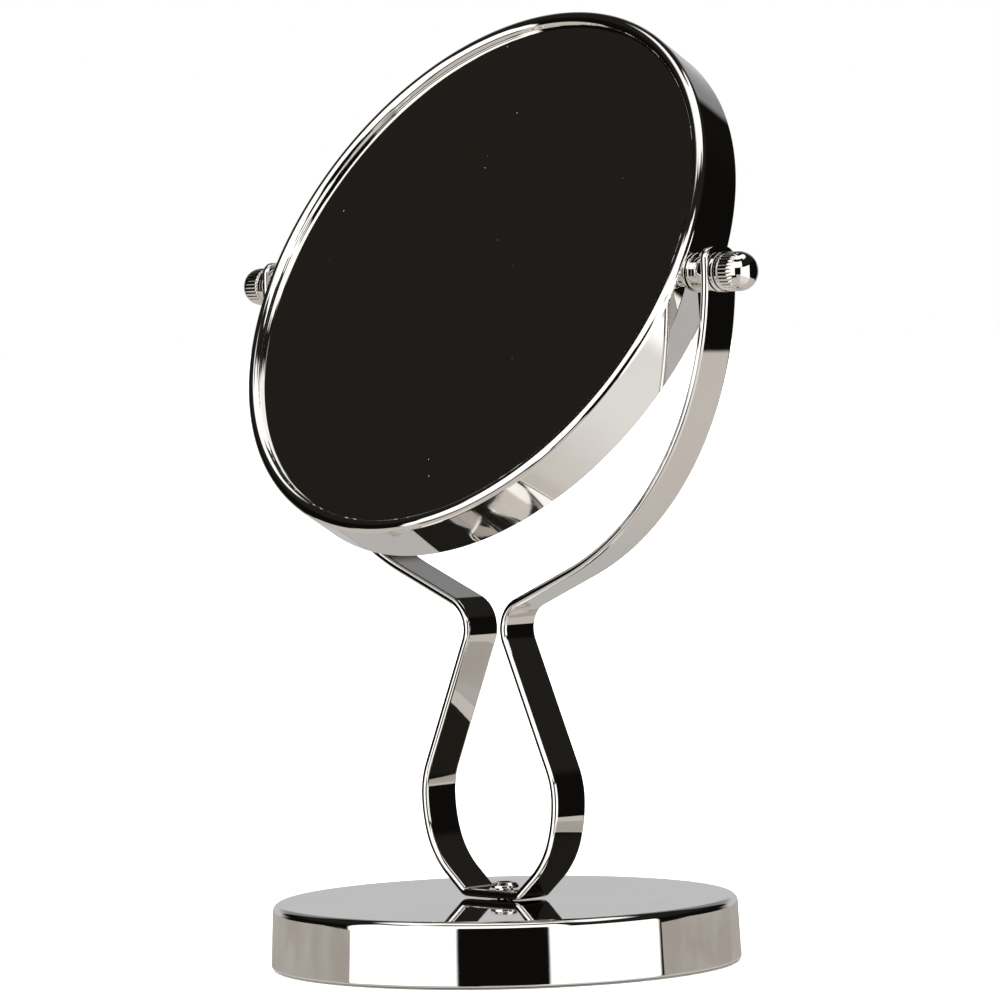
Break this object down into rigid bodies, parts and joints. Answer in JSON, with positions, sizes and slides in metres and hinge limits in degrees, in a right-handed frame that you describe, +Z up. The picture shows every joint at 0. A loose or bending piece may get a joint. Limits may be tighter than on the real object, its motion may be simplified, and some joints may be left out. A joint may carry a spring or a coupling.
{
  "type": "countertop mirror",
  "caption": "Free-standing round mirror with plain and magnifying faces, tilting between knurled knobs in a looped chrome strip stand on a weighted round base.",
  "frame": {"origin": "middle of the base's underside, on the surface that the mirror stands on", "axes": "+Z up along the stand, +X along the tilt axis towards the right-hand knob; the plain glass faces -Y, tilted up by 29 degrees"},
  "size_m": [0.206, 0.135, 0.2733],
  "materials": {
    "chrome": "bright chrome plate",
    "mirror_glass": "silvered glass",
    "plated_steel": "zinc plated",
    "iron": "rough casting",
    "foam": "matt closed-cell foam",
    "board": "pressed board",
    "nylon": "moulded"
  },
  "bodies": {
    "stand": {"base_shell": "chrome", "base_weight": "iron", "base_plate": "plated_steel", "base_pad": "foam", "foot_screw": "chrome", "foot_washer": "plated_steel", "foot_spring_washer": "plated_steel", "foot_nut": "plated_steel", "yoke_strip": "chrome"},
    "mirror_head": {"rim_band": "chrome", "rear_bezel": "chrome", "front_glass": "mirror_glass", "rear_glass": "mirror_glass", "front_cushion": "foam", "rear_cushion": "foam", "core_disc": "board", "left_pivot_stud": "plated_steel", "right_pivot_stud": "plated_steel", "left_stud_nut": "plated_steel", "right_stud_nut": "plated_steel", "left_collar": "chrome", "right_collar": "chrome", "left_inner_washer": "nylon", "right_inner_washer": "nylon"},
    "left_clamp": {"left_clamp_washer": "chrome"},
    "right_clamp": {"right_clamp_washer": "chrome"},
    "left_thumb_knob": {"left_knob": "chrome"},
    "right_thumb_knob": {"right_knob": "chrome"}
  },
  "joints": [
    {"name": "head_tilt", "type": "hinge", "parent": "stand", "child": "mirror_head", "pos_m": [0, 0, 0.1962], "axis": [1, 0, 0], "continuous": true},
    {"name": "left_clamp_travel", "type": "slide", "parent": "mirror_head", "child": "left_clamp", "axis": [-1, 0, 0], "range_m": [0, 0.0014]},
    {"name": "right_clamp_travel", "type": "slide", "parent": "mirror_head", "child": "right_clamp", "axis": [1, 0, 0], "range_m": [0, 0.0014]},
    {"name": "left_knob_turn", "type": "hinge", "parent": "left_clamp", "child": "left_thumb_knob", "pos_m": [-0.0932, 0, 0.1962], "axis": [-1, 0, 0], "range_deg": [0, 720]},
    {"name": "right_knob_turn", "type": "hinge", "parent": "right_clamp", "child": "right_thumb_knob", "pos_m": [0.0932, 0, 0.1962], "axis": [1, 0, 0], "range_deg": [0, 720]}
  ],
  "couplings": [
    {"joint": "left_knob_turn", "follows": "left_clamp_travel", "rad_per_m": 8976},
    {"joint": "right_knob_turn", "follows": "right_clamp_travel", "rad_per_m": 8976}
  ]
}
